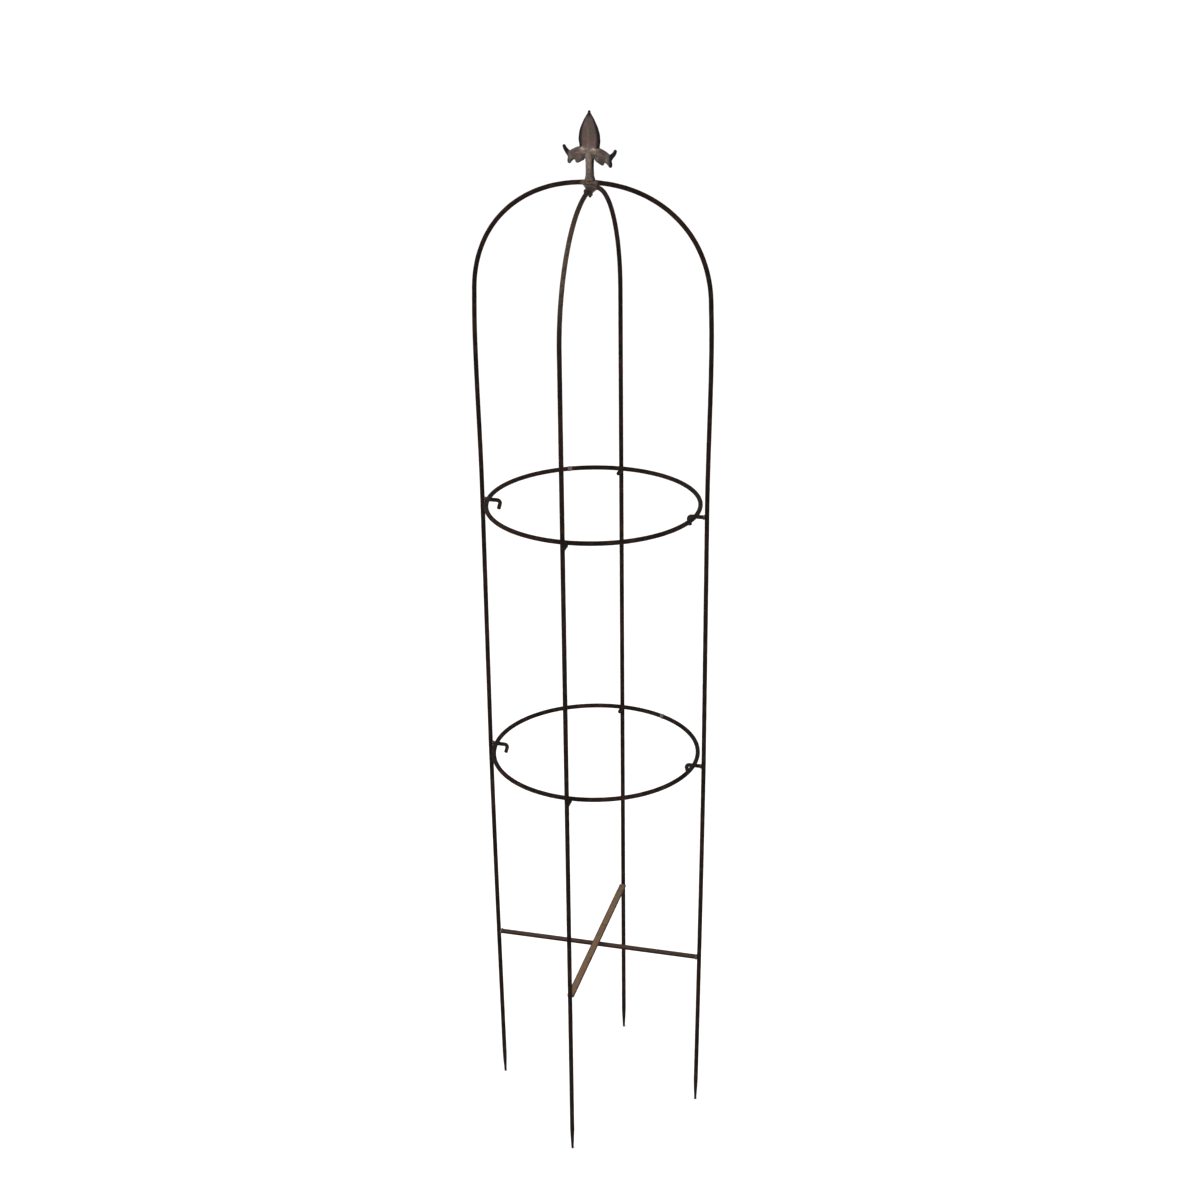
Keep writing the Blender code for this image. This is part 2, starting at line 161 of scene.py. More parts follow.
# Limbs of one side leaf: points as (across, up), radii at them, flatness
LEAF_LIFT = 0.0013
LEAF_LIMBS = (
    # leaf
    (((0.0, 0.0400), (0.012, 0.0425), (0.020, 0.0408), (0.028, 0.0378), (0.035, 0.0360)),
     (0.0088, 0.0098, 0.0098, 0.0092, 0.0070), 0.37),
    # upper spur
    (((0.036, 0.0362), (0.0412, 0.0404), (0.0452, 0.0446), (0.0477, 0.0490)),
     (0.0056, 0.0040, 0.0034, 0.0029), 0.80),
    # lower spur
    (((0.034, 0.0335), (0.0368, 0.0288), (0.0384, 0.0248)), (0.0064, 0.0045, 0.0031), 0.75),
    # lobe under the leaf
    (((0.016, 0.0345), (0.0215, 0.0300), (0.0235, 0.0272)), (0.0068, 0.0052, 0.0033), 0.60),
    # vein
    (((0.006, 0.0425), (0.018, 0.0418), (0.030, 0.0384), (0.039, 0.0362)),
     (0.0040, 0.0037, 0.0032, 0.0026), 1.22),
    # root beside the blade
    (((0.0055, 0.0475), (0.0105, 0.0492), (0.0150, 0.0478)), (0.0046, 0.0046, 0.0032), 1.18),
)

# Fasteners
DISC_UNEVENNESS = 0.00008
NUT_CHAMFER = 0.0007
NUT_FACE_SHARE = 0.97
THREAD_PITCH = 0.0008
THREAD_DEPTH = 0.00042
THREAD_STEP = 0.0001
STUD_CHAMFER = 0.0008
STUD_NARROWING = 0.20

# Fineness of the meshes
ROD_STEP = 0.003
ROD_SIDES = 20
HOOP_SIDES = 20
BRACE_SIDES = 32
SUPPORT_STEP = 0.0008
SUPPORT_SIDES = 20
DRILL_REACH = 0.01
DRILL_SIDES = 48
LIMB_STEPS = 10
POST_ROWS = 60
POST_SIDES = 48
DISC_SIDES = 64
NUT_SIDES = 72
STUD_SIDES = 32

# Layout of the swept skins' texture map, as shares of its width
GIRTH_ALLOWANCE = 1.2
STRIP_MARGIN = 0.06
STRIP_START = 0.004
STRIP_LENGTH = 0.966
CAP_PLACE = 0.985
CAP_RADIUS = 0.008

# Camera: where it stands, where it looks and its lens
CAMERA_PLACE = (0.8625, -3.2646, 2.4846)
CAMERA_HEADING = math.radians(14.63)
CAMERA_PITCH = 0.4078
CAMERA_ROLL = -0.0093
CAMERA_LENS = 63.0
SENSOR_WIDTH = 36.0
CAMERA_REACH = 200.0

# Studio
FLOOR_HALF_SIZE = 40.0
FLOOR_DROP = 0.0004
SKY_STRENGTH = 1.12
LIGHT_AIM = (0.0, 0.0, 1.1)

# Finishes: shift of the pattern, then dark scale, brown rust, red rust and powdery bloom
# The wear colour serves for real wear and for painted highlights, the dark scale colour also for painted
# shade
FINISHES = {
    "rusted_rod": {
        "shift": (0.0, 0.0, 0.0), "shine": 0.06, "wear_and_highlight_colour": (0.095, 0.068, 0.052),
        "colours": ((0.0026, 0.0018, 0.0016), (0.0090, 0.0046, 0.0032),
                    (0.026, 0.0062, 0.0040), (0.032, 0.017, 0.009))},
    "rusted_hoop": {
        "shift": (4.0, 1.0, 2.0), "shine": 0.06,
        "colours": ((0.0028, 0.0019, 0.0017), (0.0095, 0.0052, 0.0037),
                    (0.025, 0.0075, 0.0050), (0.034, 0.018, 0.011))},
    "rusted_hook": {
        "shift": (7.0, 3.0, 5.0), "shine": 0.08,
        "colours": ((0.004, 0.003, 0.0026), (0.011, 0.0072, 0.0056),
                    (0.020, 0.011, 0.008), (0.034, 0.022, 0.016))},
    # Braces: the wear colour is painted light on the top face, the dark scale colour painted shade on the
    # sides and underside
    "rusted_bar": {
        "shift": (2.0, 8.0, 1.0), "shine": 0.10, "wear_and_highlight_colour": (0.150, 0.092, 0.052),
        "colours": ((0.018, 0.011, 0.007), (0.080, 0.047, 0.027),
                    (0.088, 0.040, 0.022), (0.140, 0.092, 0.056))},
    "rusted_dark_bar": {
        "shift": (6.0, 2.0, 7.0), "shine": 0.08, "wear_and_highlight_colour": (0.050, 0.028, 0.021),
        "colours": ((0.008, 0.005, 0.004), (0.034, 0.018, 0.013),
                    (0.056, 0.021, 0.015), (0.078, 0.046, 0.034))},
    "weld_scale": {
        "shift": (5.0, 5.0, 9.0), "shine": 0.12,
        "colours": ((0.045, 0.034, 0.032), (0.100, 0.073, 0.066),
                    (0.120, 0.074, 0.064), (0.160, 0.125, 0.112))},
    # Finial: the wear colour is worn ridges and a painted highlight at the leaves' roots, the dark scale
    # colour also painted shade
    "cast_rust": {
        "shift": (1.0, 6.0, 3.0), "shine": 0.12, "wear_and_highlight_colour": (0.330, 0.255, 0.195),
        "relief": 0.0006,
        "colours": ((0.004, 0.0030, 0.0028), (0.064, 0.048, 0.044),
                    (0.092, 0.047, 0.038), (0.118, 0.092, 0.078))},
    "dull_fastener": {
        "shift": (9.0, 2.0, 4.0), "metallic": 0.6, "wear_and_highlight_colour": (0.060, 0.055, 0.050),
        "colours": ((0.012, 0.011, 0.010), (0.030, 0.026, 0.024),
                    (0.040, 0.026, 0.020), (0.070, 0.060, 0.052))},
}

UP = np.array((0.0, 0.0, 1.0))
ALONG = np.array((0.0, 1.0, 0.0))


# ---------------------------------------------------------------- materials

def node(tree, kind, **inputs):
    """Add a shader node and set its unlinked inputs by name."""
    made = tree.nodes.new(kind)
    for name, value in inputs.items():
        made.inputs[name.replace("_", " ")].default_value = value
    return made


def noise_node(tree, place, size, detail, rough=0.6, distortion=0.0):
    """Fractal noise whose blobs are about this many metres across."""
    made = node(tree, "ShaderNodeTexNoise", Scale=1.0 / size, Detail=detail, Roughness=rough,
                Distortion=distortion)
    tree.links.new(place, made.inputs["Vector"])
    return made.outputs["Fac"]


def ramp_node(tree, factor, stops):
    """Colour ramp through (position, colour) stops."""
    made = node(tree, "ShaderNodeValToRGB")
    ramp = made.color_ramp
    while len(ramp.elements) < len(stops):
        ramp.elements.new(1.0)
    for element, (position, colour) in zip(ramp.elements, stops):
        element.position = position
        element.color = (colour[0], colour[1], colour[2], 1.0)
    tree.links.new(factor, made.inputs["Fac"])
    return made.outputs["Color"]


def mix_colour(tree, factor, first, second, blend="MIX"):
    """Blend two colours; the factor is a socket or a number."""
    made = node(tree, "ShaderNodeMix")
    made.data_type = "RGBA"
    made.blend_type = blend
    made.clamp_factor = True
    for value, socket in ((factor, made.inputs[0]), (first, made.inputs[6]), (second, made.inputs[7])):
        if isinstance(value, bpy.types.NodeSocket):
            tree.links.new(value, socket)
        elif socket.type == "RGBA":
            socket.default_value = (value[0], value[1], value[2], 1.0)
        else:
            socket.default_value = value
    return made.outputs[2]


def calculate(tree, operation, first, second=0.0, third=0.0):
    """One arithmetic step on sockets or numbers."""
    made = node(tree, "ShaderNodeMath")
    made.operation = operation
    for value, socket in zip((first, second, third), made.inputs):
        if isinstance(value, bpy.types.NodeSocket):
            tree.links.new(value, socket)
        else:
            socket.default_value = value
    return made.outputs[0]


def remap(tree, value, low, high, new_low, new_high):
    """Stretch a range of values to another, clamped."""
    made = node(tree, "ShaderNodeMapRange")
    tree.links.new(value, made.inputs["Value"])
    limits = {"From Min": low, "From Max": high, "To Min": new_low, "To Max": new_high}
    for name, number in limits.items():
        made.inputs[name].default_value = number
    return made.outputs["Result"]


def object_place(tree, shift):
    """The piece's own coordinates, moved so that no two materials repeat."""
    where = node(tree, "ShaderNodeTexCoord")
    moved = node(tree, "ShaderNodeMapping")
    moved.inputs["Location"].default_value = shift
    tree.links.new(where.outputs["Object"], moved.inputs["Vector"])
    return moved.outputs["Vector"]


def attribute(tree, name):
    """A value painted on the mesh, point by point."""
    made = node(tree, "ShaderNodeAttribute")
    made.attribute_name = name
    return made.outputs["Fac"]


def rust_fields(tree, place):
    """Patterns that every finish shares, from broad drift down to grain and pits."""
    fields = {
        "drift": noise_node(tree, place, DRIFT_SIZE, 3.0, 0.55),
        "patches": noise_node(tree, place, PATCH_SIZE, 6.0, 0.62, 0.4),
        "mottle": noise_node(tree, place, MOTTLE_SIZE, 8.0, 0.68, 0.2),
        "grain": noise_node(tree, place, GRAIN_SIZE, 6.0, 0.7),
    }
    pits = node(tree, "ShaderNodeTexVoronoi", Scale=1.0 / PIT_SIZE, Randomness=1.0)
    pits.feature = "SMOOTH_F1"
    tree.links.new(place, pits.inputs["Vector"])
    fields["pit_depth"] = remap(tree, pits.outputs["Distance"], 0.05, 0.42, 0.0, 1.0)
    fields["powder"] = calculate(tree, "MULTIPLY", remap(tree, fields["patches"], 0.52, 0.68, 0.0, 1.0),
                                 remap(tree, fields["grain"], 0.42, 0.60, 0.1, 0.9))
    return fields


def rust_shade(tree, fields):
    """Grey that darkens the grain's hollows and one end of the pit pattern."""
    shade = remap(tree, fields["grain"], 0.30, 0.70, 0.72, 1.22)
    hollow = remap(tree, fields["pit_depth"], 0.0, 0.35, 0.55, 1.0)
    shade = calculate(tree, "MULTIPLY", shade, hollow)
    grey = node(tree, "ShaderNodeCombineColor")
    for channel in ("Red", "Green", "Blue"):
        tree.links.new(shade, grey.inputs[channel])
    return grey.outputs["Color"]


def rust_colour(tree, fields, colours, wear_and_highlight_colour):
    """Dark scale breaking into brown and red rust, with powdery bloom; painted wear and painted highlights
    lighten it, painted dark scale and painted shade darken it.
    """
    dark, brown, red, bloom = colours
    spread = calculate(tree, "MULTIPLY_ADD", fields["drift"], 0.45,
                       calculate(tree, "MULTIPLY", fields["patches"], 0.55))
    colour = ramp_node(tree, spread, [(0.36, dark), (0.50, brown), (0.64, red)])
    freckle = remap(tree, fields["mottle"], 0.44, 0.62, 0.0, 0.75)
    colour = mix_colour(tree, freckle, colour, brown)
    colour = mix_colour(tree, fields["powder"], colour, bloom)
    colour = mix_colour(tree, 1.0, colour, rust_shade(tree, fields), "MULTIPLY")
    if wear_and_highlight_colour is not None:
        # Painted on the mesh: real wear and painted highlights lighten the colour towards the wear colour
        lightening = calculate(tree, "MULTIPLY", attribute(tree, "wear_and_highlight"),
                           remap(tree, fields["mottle"], 0.38, 0.58, 0.25, 1.0))
        colour = mix_colour(tree, lightening, colour, wear_and_highlight_colour)
        # Painted on the mesh: dark scale and painted shade darken the colour towards the dark scale colour
        colour = mix_colour(tree, attribute(tree, "dark_scale_and_shade"), colour, dark)
    return colour


def rust_roughness(tree, fields):
    """Matt all over, and a little smoother where the mottle is strong."""
    rough = calculate(tree, "MULTIPLY_ADD", fields["mottle"], -0.30, 0.92)
    rough = calculate(tree, "MULTIPLY_ADD", fields["powder"], 0.14, rough)
    rough = calculate(tree, "MULTIPLY_ADD", fields["grain"], 0.08, rough)
    return remap(tree, rough, 0.0, 1.0, 0.0, 0.98)


def rust_relief(tree, fields, relief):
    """Bump from the mottle, grain, pits and patches."""
    height = calculate(tree, "MULTIPLY_ADD", fields["mottle"], 0.9,
                       calculate(tree, "MULTIPLY", fields["grain"], 0.45))
    height = calculate(tree, "MULTIPLY_ADD", fields["pit_depth"], 0.35, height)
    height = calculate(tree, "MULTIPLY_ADD", fields["patches"], 0.6, height)
    bump = node(tree, "ShaderNodeBump", Strength=0.85, Distance=relief)
    tree.links.new(height, bump.inputs["Height"])
    return bump.outputs["Normal"]


def rusty_metal(name, shift, colours, wear_and_highlight_colour=None, shine=0.14, metallic=0.05, relief=0.00045):
    """Weathered steel in the four colours that FINISHES gives for it."""
    material = bpy.data.materials.new(name)
    material.use_nodes = True
    tree = material.node_tree
    shader = tree.nodes["Principled BSDF"]
    fields = rust_fields(tree, object_place(tree, shift))
    tree.links.new(rust_colour(tree, fields, colours, wear_and_highlight_colour), shader.inputs["Base Color"])
    tree.links.new(rust_roughness(tree, fields), shader.inputs["Roughness"])
    tree.links.new(rust_relief(tree, fields, relief), shader.inputs["Normal"])
    shader.inputs["Metallic"].default_value = metallic
    shader.inputs["Specular IOR Level"].default_value = shine
    return material


def pale_floor():
    """Matt white studio floor with the faintest unevenness."""
    material = bpy.data.materials.new("studio_floor")
    material.use_nodes = True
    tree = material.node_tree
    shader = tree.nodes["Principled BSDF"]
    cloud = noise_node(tree, object_place(tree, (3.0, 1.0, 0.0)), 0.8, 3.0)
    tree.links.new(ramp_node(tree, cloud, [(0.3, (0.90, 0.90, 0.90)), (0.7, (0.93, 0.93, 0.93))]),
                   shader.inputs["Base Color"])
    shader.inputs["Roughness"].default_value = 0.9
    return material


# ------------------------------------------------------------- mesh helpers

def linked(name, data):
    """Make an object of some data and put it in the scene."""
    thing = bpy.data.objects.new(name, data)
    bpy.context.scene.collection.objects.link(thing)
    return thing


def take_mesh(name, work):
    """Turn a working bmesh into a mesh, and free it."""
    mesh = bpy.data.meshes.new(name)
    work.to_mesh(mesh)
    work.free()
    return mesh


def add_piece(name, mesh, body, slot, material, *stands_for):
    """Link a finished mesh as a piece that rides on a body."""
    piece = linked(name, mesh)
    mesh.materials.clear()
    mesh.materials.append(material)
    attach(piece, body)
    if stands_for:
        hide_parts(*stands_for)
    return piece


def mesh_of(name, points, faces):
    """Make a smooth-shaded mesh from points and faces."""
    mesh = bpy.data.meshes.new(name)
    mesh.from_pydata([tuple(point) for point in points], [], [tuple(face) for face in faces])
    mesh.validate()
    mesh.shade_smooth()
    return mesh


def paint(mesh, name, values):
    """Store one value per point for the material to read."""
    layer = mesh.attributes.new(name, "FLOAT", "POINT")
    layer.data.foreach_set("value", np.asarray(values, dtype=np.float32))


def paint_evenly(mesh, wear_and_highlight):
    """Paint one strength of wear, and no soot, over a whole piece."""
    paint(mesh, "wear_and_highlight", [wear_and_highlight] * len(mesh.vertices))
    paint(mesh, "dark_scale_and_shade", [0.0] * len(mesh.vertices))


def tube_faces(rows, sides, closed):
    """Faces that join rows of points into a tube, with end caps unless it closes on itself."""
    faces = []
    for row in range(rows if closed else rows - 1):
        after = (row + 1) % rows
        for side in range(sides):
            beside = (side + 1) % sides
            faces.append((row * sides + side, row * sides + beside,
                          after * sides + beside, after * sides + side))
    if not closed:
        faces.append(tuple(range(sides))[::-1])
        faces.append(tuple((rows - 1) * sides + side for side in range(sides)))
    return faces


def roughness_at(point, size, seed):
    """Signed noise at a point, for blobs of a given size."""
    return noise.noise(Vector((point[0] / size + seed, point[1] / size - seed, point[2] / size)))


def relief_at(point, seed):
    """Height of the bar's skin above its nominal radius."""
    wave = roughness_at(point, WAVE_SIZE, seed)
    scale = roughness_at(point, SCALE_SIZE, seed + 31.7)
    return WAVE_HEIGHT * wave + SCALE_HEIGHT * scale


def superellipse(angle, squareness):
    """Point on a unit superellipse; a squareness of 2 is a circle."""
    cosine, sine = math.cos(angle), math.sin(angle)
    power = 2.0 / squareness
    return (math.copysign(abs(cosine) ** power, cosine), math.copysign(abs(sine) ** power, sine))


def sweep(name, path, binormal, section, sides, closed, seed, relief=1.0):
    """Sweep a changing section along a flat path, with a rough rolled skin.

    section(index) gives half width along the binormal, half thickness and squareness.
    """
    path = np.asarray(path, dtype=float)
    count = len(path)
    if closed:
        tangents = np.roll(path, -1, axis=0) - np.roll(path, 1, axis=0)
    else:
        tangents = np.gradient(path, axis=0)
    tangents /= np.linalg.norm(tangents, axis=1)[:, None]
    normals = np.cross(tangents, binormal)
    points = []
    for index in range(count):
        wide, thick, squareness = section(index)
        for side in range(sides):
            across, out = superellipse(2.0 * math.pi * side / sides, squareness)
            offset = binormal * (across * wide) + normals[index] * (out * thick)
            place = path[index] + offset
            length = np.linalg.norm(offset)
            if length > 0.0:
                outward = offset / length
                place = place + outward * relief_at(place, seed) * relief * min(1.0, length / TIP_RADIUS)
            points.append(place)
    mesh = mesh_of(name, points, tube_faces(count, sides, closed))
    turn_outward(mesh)
    strip_map(mesh, path, sides, closed)
    return mesh


def lay_cap(layer, polygon, height):
    """Lay an end cap out as a small round patch beside the strips."""
    corners = len(polygon.loop_indices)
    for number, loop in enumerate(polygon.loop_indices):
        turn = 2.0 * math.pi * number / corners
        layer.data[loop].uv = (CAP_PLACE + CAP_RADIUS * math.cos(turn),
                               height + CAP_RADIUS * math.sin(turn))


def strip_map(mesh, path, sides, closed):
    """Lay a swept skin out as a stack of equal strips, for its baked textures."""
    steps = np.linalg.norm(np.diff(path, axis=0), axis=1)
    total = float(steps.sum()) * (1.0 + 1.0 / len(path) if closed else 1.0)
    count = len(path)
    girth = 2.0 * math.pi * ROD_RADIUS * GIRTH_ALLOWANCE
    rows = max(1, round(math.sqrt(total / girth)))
    per_row = math.ceil((count if closed else count - 1) / rows)
    layer = mesh.uv_layers.new(name="OFBake")
    for polygon in mesh.polygons:
        indices = list(polygon.vertices)
        if len(indices) != 4:
            lay_cap(layer, polygon, 0.5 / rows)
            continue
        rings = [index // sides for index in indices]
        spots = [index % sides for index in indices]
        if closed and max(rings) - min(rings) > 1:
            rings = [ring if ring > 1 else ring + count for ring in rings]
        if max(spots) - min(spots) > 1:
            spots = [spot if spot > 1 else spot + sides for spot in spots]
        row = min(rings) // per_row
        for loop, ring, spot in zip(polygon.loop_indices, rings, spots):
            along = (ring - row * per_row) / per_row
            around = STRIP_MARGIN / 2 + spot / sides * (1.0 - STRIP_MARGIN)
            layer.data[loop].uv = (STRIP_START + STRIP_LENGTH * along, (row + around) / rows)


def turn_outward(mesh):
    """Point every face of a closed mesh outward."""
    work = bmesh.new()
    work.from_mesh(mesh)
    bmesh.ops.recalc_face_normals(work, faces=work.faces)
    work.to_mesh(mesh)
    work.free()


def evaluated_mesh(thing, name):
    """Apply a working object's modifiers and return the finished mesh."""
    bpy.context.view_layer.update()
    shaped = thing.evaluated_get(bpy.context.evaluated_depsgraph_get())
    mesh = bpy.data.meshes.new_from_object(shaped)
    mesh.name = name
    bpy.data.objects.remove(thing, do_unlink=True)
    return mesh


def fuse(name, meshes, voxel, smoothing):
    """Fuse overlapping closed meshes into one skin with soft inside corners."""
    work = bmesh.new()
    for mesh in meshes:
        work.from_mesh(mesh)
    thing = linked(name, take_mesh(name, work))
    remesh = thing.modifiers.new("fuse", "REMESH")
    remesh.mode = "VOXEL"
    remesh.voxel_size = voxel
    smooth = thing.modifiers.new("soften", "SMOOTH")
    smooth.factor = 0.5
    smooth.iterations = smoothing
    mesh = evaluated_mesh(thing, name)
    mesh.shade_smooth()
    return mesh


def roughen(mesh, seed, wave, wave_size, grain, grain_size):
    """Push the points of a mesh in and out with two sizes of noise."""
    normals = [vertex.normal.copy() for vertex in mesh.vertices]
    for vertex, normal in zip(mesh.vertices, normals):
        height = wave * roughness_at(vertex.co, wave_size, seed)
        height += grain * roughness_at(vertex.co, grain_size, seed + 11.3)
        vertex.co += normal * height
    mesh.update()


def blob(centre, radii):
    """A closed ellipsoid used as one lump of a fused shape."""
    work = bmesh.new()
    bmesh.ops.create_icosphere(work, subdivisions=4, radius=1.0)
    mesh = take_mesh("lump", work)
    mesh.transform(Matrix.Diagonal((radii[0], radii[1], radii[2], 1.0)))
    mesh.transform(Matrix.Translation(Vector(centre)))
    return mesh


def drilled(mesh, radius, bottom, top):
    """Cut the stud's hole down the pivot axis."""
    thing = linked(mesh.name, mesh)
    work = bmesh.new()
    bmesh.ops.create_cone(work, cap_ends=True, segments=DRILL_SIDES, radius1=radius, radius2=radius,
                          depth=top - bottom, matrix=Matrix.Translation((0.0, 0.0, (bottom + top) / 2)))
    cutter = linked("drill", take_mesh("drill", work))
    cut = thing.modifiers.new("drill", "BOOLEAN")
    cut.operation = "DIFFERENCE"
    cut.solver = "EXACT"
    cut.object = cutter
    shaped = evaluated_mesh(thing, mesh.name)
    bpy.data.objects.remove(cutter, do_unlink=True)
    shaped.shade_smooth()
    shaped.set_sharp_from_angle(angle=math.radians(50.0))
    return shaped


# --------------------------------------------------------------------- arches

def ease(share):
    """Smooth step from 0 to 1."""
    share = min(1.0, max(0.0, share))
    return share * share * (3.0 - 2.0 * share)


def outer_spread(height):
    """How far the outer arch's legs stand out from its nominal half width."""
    if height < LOWER_HOOP_HEIGHT:
        down = 1.0 - height / LOWER_HOOP_HEIGHT
        return -LOWER_HOOP_PULL - FOOT_PULL * down ** FOOT_PULL_POWER
    if height < UPPER_HOOP_HEIGHT:
        up = (height - LOWER_HOOP_HEIGHT) / (UPPER_HOOP_HEIGHT - LOWER_HOOP_HEIGHT)
        return -LOWER_HOOP_PULL + (LOWER_HOOP_PULL - UPPER_HOOP_PULL) * up
    if height < SHOULDER_HEIGHT:
        up = (height - UPPER_HOOP_HEIGHT) / (SHOULDER_HEIGHT - UPPER_HOOP_HEIGHT)
        return -UPPER_HOOP_PULL + (UPPER_HOOP_PULL + SHOULDER_SPREAD) * ease(up)
    return SHOULDER_SPREAD * (1.0 - ease((height - SHOULDER_HEIGHT) / SHOULDER_FADE))


def no_spread(height):
    """The inner arch's legs keep their nominal half width."""
    return 0.0


def arch_points(half_width, crown, rise, squareness, spread):
    """Centre line of one arch from tip to tip, evenly stepped, in the XZ plane."""
    leg = [(-half_width, 0.0, height) for height in np.arange(0.0, crown - rise, ROD_STEP)]
    fine = []
    for step in range(1200):
        turn = math.pi * (1.0 - step / 1199.0)
        across = math.copysign(abs(math.cos(turn)) ** (2.0 / squareness), math.cos(turn))
        share = abs(across)
        up = max(0.0, 1.0 - share ** squareness) ** (1.0 / squareness)
        fine.append((half_width * across, 0.0, crown - rise + rise * up))
    fine = np.array(fine)
    length = np.concatenate(([0.0], np.cumsum(np.linalg.norm(np.diff(fine, axis=0), axis=1))))
    stations = np.linspace(0.0, length[-1], 2 * round(length[-1] / ROD_STEP / 2) + 1)
    dome = np.stack([np.interp(stations, length, fine[:, axis]) for axis in range(3)], axis=1)
    mirrored = [(half_width, 0.0, point[2]) for point in reversed(leg)]
    path = np.concatenate([np.array(leg), dome[1:-1], np.array(mirrored)])
    path[:, 0] += [np.sign(across) * spread(height) for across, _, height in path]
    return path


def tip_share(height):
    """How far down the point a height lies: 0 at full section, 1 at the end."""
    return min(1.0, max(0.0, 1.0 - height / TIP_LENGTH))


def eye_share(distance):
    """How much of the crown's forged eye shows at a distance from the pivot axis."""
    return ease((EYE_HALF_LENGTH + EYE_BLEND - distance) / EYE_BLEND)


def arch_section(path, crown):
    """Section of the arch rod at each station: point, round bar or flat eye."""
    def section(index):
        across, _, height = path[index]
        point = tip_share(height)
        radius = ROD_RADIUS + (TIP_RADIUS - ROD_RADIUS) * point ** 1.15
        squareness = 2.0 + (TIP_SQUARENESS - 2.0) * min(1.0, point * 2.5)
        wide = thick = radius
        if height > crown / 2:
            eye = eye_share(abs(across))
            wide = ROD_RADIUS + (EYE_HALF_WIDTH - ROD_RADIUS) * eye
            thick = ROD_RADIUS + (EYE_HALF_THICKNESS - ROD_RADIUS) * eye
            squareness = 2.0 + 1.6 * eye
        return wide, thick, squareness
    return section


def turned(mesh, degrees):
    """Turn a mesh about the pivot axis."""
    mesh.transform(Matrix.Rotation(math.radians(degrees), 4, "Z"))
    return mesh


def bare_share(place, crown, rubbed_side):
    """How much of the dark skin is gone: at the forged eye and along one shoulder."""
    if place.z < crown / 2:
        return 0.0
    lightening = 0.0
    if rubbed_side * place.x > 0.0:
        lightening = RUBBED_DEPTH * math.exp(-((crown - RUBBED_DROP - place.z) / RUBBED_REACH) ** 2)
    return max(eye_share(abs(place.x)) ** 3, lightening)


def build_arch(node_name, body, dome, spread, degrees, seed, rubbed_side, material):
    """One bent rod with pointed tips and a drilled eye at its crown."""
    _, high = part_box(node_name)
    crown = high.z - EYE_HALF_THICKNESS
    path = arch_points(ARCH_HALF_WIDTH, crown, dome[0], dome[1], spread)
    mesh = sweep(node_name + "_bar", path, ALONG, arch_section(path, crown), ROD_SIDES, False, seed)
    mesh = drilled(mesh, HOLE_RADIUS, crown - DRILL_REACH, crown + DRILL_REACH)
    for vertex in mesh.vertices:
        vertex.co.z = max(vertex.co.z, 0.0)
    paint(mesh, "wear_and_highlight", [bare_share(vertex.co, crown, rubbed_side) for vertex in mesh.vertices])
    paint(mesh, "dark_scale_and_shade", [0.0] * len(mesh.vertices))
    turned(mesh, degrees)
    add_piece(node_name + "_bar", mesh, body, "rod_steel", material, node_name)


def build_brace(node_name, body, degrees, seed, material):
    """Flat cross bar lying flat between the legs of one arch."""
    low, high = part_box(node_name)
    half_length = max(high.x, high.y)
    half_width = min(high.x, high.y)
    half_thickness = (high.z - low.z) / 2
    height = (high.z + low.z) / 2
    inset = np.array(BRACE_END_STEPS)
    stations = np.arange(-half_length + BRACE_END_CLEAR, half_length - BRACE_END_CLEAR, ROD_STEP)
    stations = np.concatenate((-half_length + inset, stations, (half_length - inset)[::-1]))
    path = [(station, 0.0, height) for station in stations]

    def section(index):
        end = half_length - abs(stations[index])
        trim = BRACE_TRIM * max(0.0, 1.0 - end / BRACE_TRIM_REACH)
        return half_width - trim, half_thickness - trim, BRACE_SQUARENESS

    mesh = sweep(node_name + "_bar", path, ALONG, section, BRACE_SIDES, False, seed, CUT_BAR_RELIEF)
    mesh.set_sharp_from_angle(angle=math.radians(60.0))
    # Painted light and shade: the top face is painted lighter, as if lit from above, and the sides and
    # underside darker as painted shade
    side = [ease((abs(vertex.co.y) / half_width - 0.64) / 0.32) for vertex in mesh.vertices]
    lying = [1.0 if vertex.co.z > height else 0.0 for vertex in mesh.vertices]
    paint(mesh, "wear_and_highlight", [0.8 * top * (1.0 - near) for top, near in zip(lying, side)])
    paint(mesh, "dark_scale_and_shade", [max(0.85 * near, 0.7 * (1.0 - top)) for top, near in zip(lying, side)])
    turned(mesh, degrees)
    add_piece(node_name + "_bar", mesh, body, "bar_steel", material, node_name)


# --------------------------------------------------------- hoops and supports

def build_hoop(node_name, body, seed, seam_degrees, material, weld_material):
    """Loose hoop of round bar with the butt weld that closes it."""
    low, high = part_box(node_name)
    radius = high.x - ROD_RADIUS
    height = (low.z + high.z) / 2
    count = round(2.0 * math.pi * radius / ROD_STEP)
    turns = [2.0 * math.pi * step / count for step in range(count)]
    path = [(radius * math.cos(turn), radius * math.sin(turn), height) for turn in turns]
    mesh = sweep(node_name + "_ring", path, UP, lambda index: (ROD_RADIUS, ROD_RADIUS, 2.0),
                 HOOP_SIDES, True, seed)
    add_piece(node_name + "_ring", mesh, body, "hoop_steel", material, node_name)
    seam = math.radians(seam_degrees)
    lumps = []
    for step in range(-SEAM_BEADS, SEAM_BEADS + 1):
        turn = seam + step * SEAM_STEP / radius
        centre = (radius * math.cos(turn), radius * math.sin(turn), height)
        size = ROD_RADIUS + SEAM_SWELL - SEAM_FALL * step * step
        lumps.append(blob(centre, (size, size, size)))
    bead = fuse(node_name + "_seam", lumps, SEAM_VOXEL, 3)
    roughen(bead, seed, 0.0002, 0.003, 0.0001, 0.001)
    add_piece(node_name + "_seam", bead, body, "hoop_steel", weld_material)


